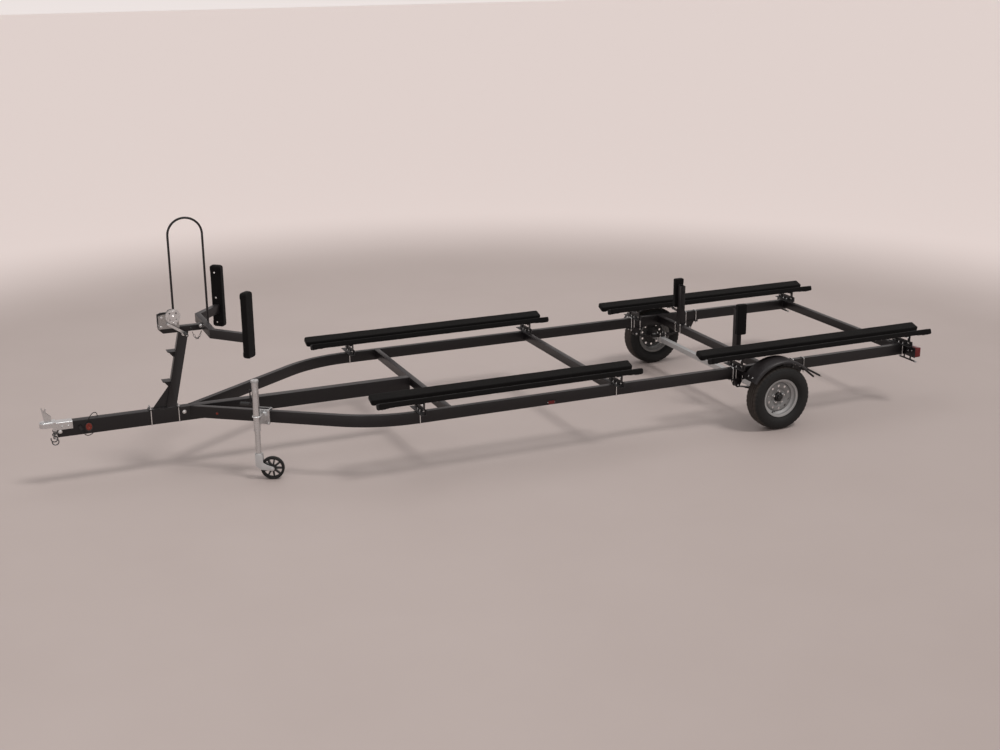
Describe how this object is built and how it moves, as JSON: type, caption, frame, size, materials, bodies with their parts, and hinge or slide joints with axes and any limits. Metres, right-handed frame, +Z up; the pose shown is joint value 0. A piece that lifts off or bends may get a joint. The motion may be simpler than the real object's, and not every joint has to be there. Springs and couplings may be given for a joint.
{
  "type": "pontoon boat trailer",
  "caption": "Single-axle bunk trailer for a pontoon boat: bent tube frame on a long tongue, V bunks, stepped winch stand with bow stops and grab hoop, and a swivel caster jack.",
  "frame": {"origin": "floor level, at the middle of the bounding box, in the centre plane", "axes": "+X forward to the coupler, +Y to the left side, +Z up"},
  "size_m": [8.3, 2.601, 2.218],
  "materials": {
    "black_paint": "black paint, satin",
    "carpet": "black marine carpet over timber",
    "tyre": "black rubber",
    "rim_silver": "silver paint",
    "zinc": "zinc plate",
    "roller": "black plastic",
    "lead": "black flexible sheath",
    "lamp": "red lens in a black housing"
  },
  "bodies": {
    "chassis": {"axle_slider_left": "black_paint", "axle_slider_right": "black_paint", "axle_tube": "zinc", "bow_arms": "black_paint", "bow_board_left": "carpet", "bow_board_right": "carpet", "bunk_brackets_left": "black_paint", "bunk_brackets_right": "black_paint", "bunk_front_left_inner": "carpet", "bunk_front_left_outer": "carpet", "bunk_front_right_inner": "carpet", "bunk_front_right_outer": "carpet", "bunk_rear_left_inner": "carpet", "bunk_rear_left_outer": "carpet", "bunk_rear_right_inner": "carpet", "bunk_rear_right_outer": "carpet", "coupler": "zinc", "coupler_latch": "zinc", "crossmember_axle": "black_paint", "crossmember_front": "black_paint", "crossmember_mid": "black_paint", "crossmember_rear": "black_paint", "fender_left": "black_paint", "fender_right": "black_paint", "grab_hoop": "black_paint", "guide_board_left": "carpet", "guide_board_right": "carpet", "guide_post_left": "black_paint", "guide_post_right": "black_paint", "jack_mount": "zinc", "lead_plug": "lead", "leaf_spring_left": "black_paint", "leaf_spring_right": "black_paint", "light_lead": "lead", "safety_chains": "zinc", "side_marker_left": "lamp", "side_marker_right": "lamp", "side_rail_left": "black_paint", "side_rail_right": "black_paint", "stand_arm": "black_paint", "stand_post": "black_paint", "tail_light_left": "lamp", "tail_light_right": "lamp", "tongue_marker": "lamp", "tongue_tube": "black_paint", "winch_frame": "zinc"},
    "left_wheel": {"tyre_left": "tyre", "wheel_left": "rim_silver", "hub_left": "zinc"},
    "right_wheel": {"tyre_right": "tyre", "wheel_right": "rim_silver", "hub_right": "zinc"},
    "jack_body": {"jack_tube": "zinc", "jack_crank": "black_paint"},
    "jack_slider": {"jack_leg": "zinc"},
    "jack_caster": {"jack_fork": "zinc"},
    "jack_roller": {"jack_wheel": "roller"},
    "drum": {"winch_drum": "zinc"},
    "crank": {"winch_crank": "zinc"}
  },
  "joints": [
    {"name": "left_wheel_spin", "type": "hinge", "parent": "chassis", "child": "left_wheel", "pos_m": [-2.348, 1.208, 0.305], "axis": [0, 1, 0], "continuous": true},
    {"name": "right_wheel_spin", "type": "hinge", "parent": "chassis", "child": "right_wheel", "pos_m": [-2.348, -1.208, 0.305], "axis": [0, 1, 0], "continuous": true},
    {"name": "jack_swivel", "type": "hinge", "parent": "chassis", "child": "jack_body", "pos_m": [2.37438, 0.43922, 0.53], "axis": [0.5807, 0.8141, 0], "range_deg": [0, 90]},
    {"name": "jack_lift", "type": "slide", "parent": "jack_body", "child": "jack_slider", "axis": [0, 0, -1], "range_m": [-0.17, 0.08]},
    {"name": "jack_caster_swivel", "type": "hinge", "parent": "jack_slider", "child": "jack_caster", "pos_m": [2.432, 0.52, 0.23], "axis": [0, 0, 1], "continuous": true},
    {"name": "jack_roller_spin", "type": "hinge", "parent": "jack_caster", "child": "jack_roller", "pos_m": [2.32675, 0.55831, 0.1015], "axis": [-0.342, -0.9397, 0], "continuous": true},
    {"name": "winch_crank_turn", "type": "hinge", "parent": "chassis", "child": "crank", "pos_m": [3.03693, 0.07, 1.33705], "axis": [0, 1, 0], "continuous": true},
    {"name": "winch_drum_turn", "type": "hinge", "parent": "chassis", "child": "drum", "pos_m": [2.991, 0.07, 1.398], "axis": [0, 1, 0], "continuous": true}
  ],
  "couplings": [
    {"joint": "winch_drum_turn", "follows": "winch_crank_turn", "ratio": -0.2}
  ]
}
